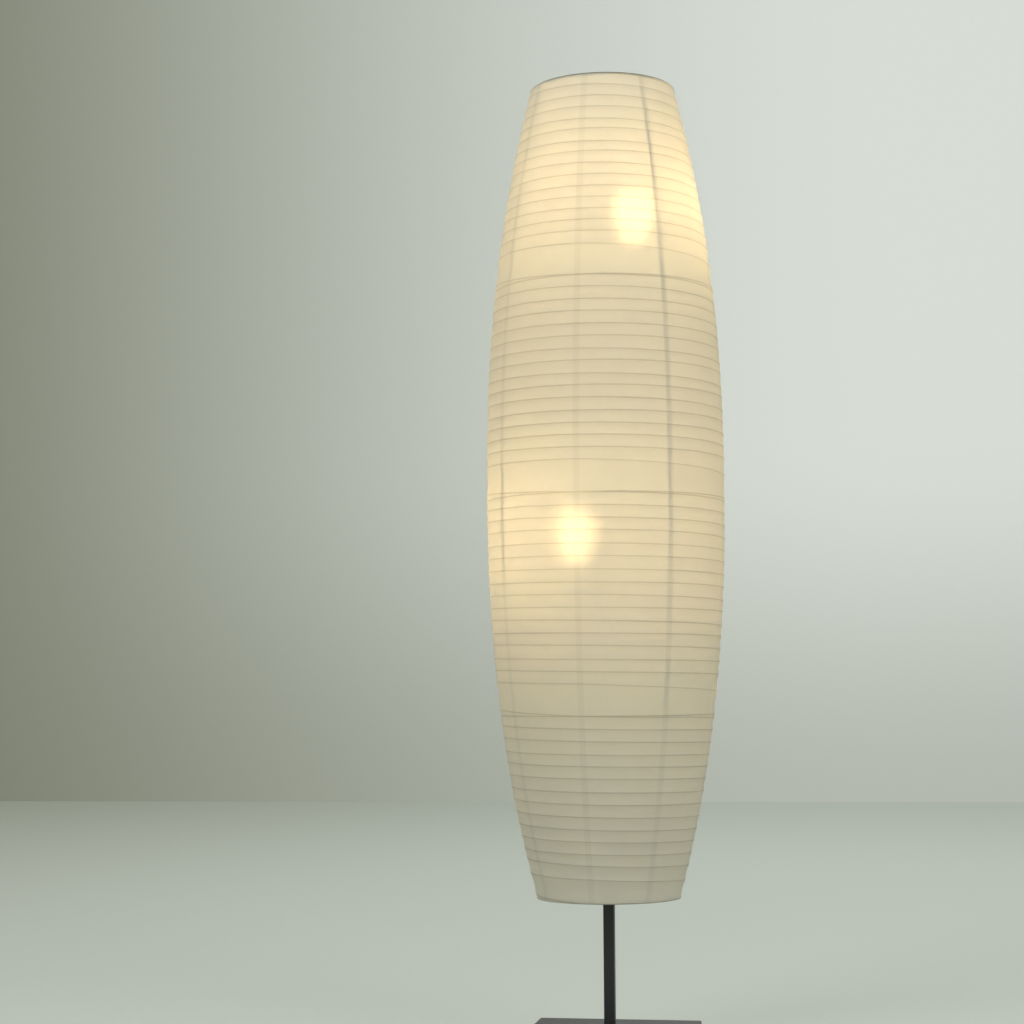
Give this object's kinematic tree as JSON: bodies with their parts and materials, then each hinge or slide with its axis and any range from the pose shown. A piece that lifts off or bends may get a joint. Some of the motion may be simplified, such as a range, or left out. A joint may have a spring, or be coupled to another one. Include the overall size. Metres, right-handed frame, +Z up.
{
  "type": "floor lamp",
  "caption": "Paper lantern floor lamp: a tall ribbed paper barrel hung from a square steel stem on a square base, with lampholders and bulbs inside.",
  "frame": {"origin": "on the floor under the middle of the base", "axes": "+Z up along the stem; -Y is the front, +X the right"},
  "size_m": [0.3506, 0.3506, 1.406],
  "materials": {
    "black_powder": "satin powder coat",
    "zinc_steel": "zinc plated",
    "pad_rubber": "matte",
    "black_nylon": "matte",
    "white_nylon": "matte",
    "lead_sheath": "matte",
    "holder_black": "satin",
    "porcelain": "glazed",
    "brass": "bare",
    "cap_metal": "bare",
    "opal_globe": "opal",
    "shade_wire": "dull varnish",
    "shade_paper": "matte fibrous"
  },
  "bodies": {
    "stand": {"base_plate": "black_powder", "base_pads": "pad_rubber", "stem_bolt": "zinc_steel", "stem_foot_plug": "zinc_steel", "stem_lower": "black_powder", "stem_middle": "black_powder", "stem_upper": "black_powder", "stem_couplers": "zinc_steel", "coupler_screws": "black_powder", "stem_head": "black_powder", "inlet_bush": "black_nylon", "lead_splice": "white_nylon", "lower_lead": "lead_sheath", "upper_lead": "lead_sheath", "lower_arm": "black_powder", "upper_arm": "black_powder", "holder_nipples": "brass", "holder_shells": "holder_black", "holder_cores": "porcelain", "holder_contacts": "brass", "holder_liners": "brass"},
    "lower_bulb": {"lower_bulb_cap": "cap_metal", "lower_bulb_globe": "opal_globe"},
    "upper_bulb": {"upper_bulb_cap": "cap_metal", "upper_bulb_globe": "opal_globe"},
    "seat_washer": {"seat_washer": "white_nylon"},
    "shade": {"top_spider": "shade_wire", "shade_rings": "shade_wire", "shade_struts": "shade_wire", "shade_paper": "shade_paper"},
    "finial": {"finial_nut": "black_powder"}
  },
  "joints": [
    {"name": "shade_turn", "type": "hinge", "parent": "stand", "child": "seat_washer", "pos_m": [0, 0, 1.379], "axis": [0, 0, 1], "continuous": true},
    {"name": "shade_lift", "type": "slide", "parent": "seat_washer", "child": "shade", "axis": [0, 0, 1], "range_m": [0, 1.25]},
    {"name": "finial_off", "type": "slide", "parent": "shade", "child": "finial", "axis": [0, 0, 1], "range_m": [0, 0.025]},
    {"name": "lower_bulb_out", "type": "slide", "parent": "stand", "child": "lower_bulb", "axis": [0, 0, 1], "range_m": [0, 0.03]},
    {"name": "upper_bulb_out", "type": "slide", "parent": "stand", "child": "upper_bulb", "axis": [0, 0, 1], "range_m": [0, 0.03]}
  ]
}
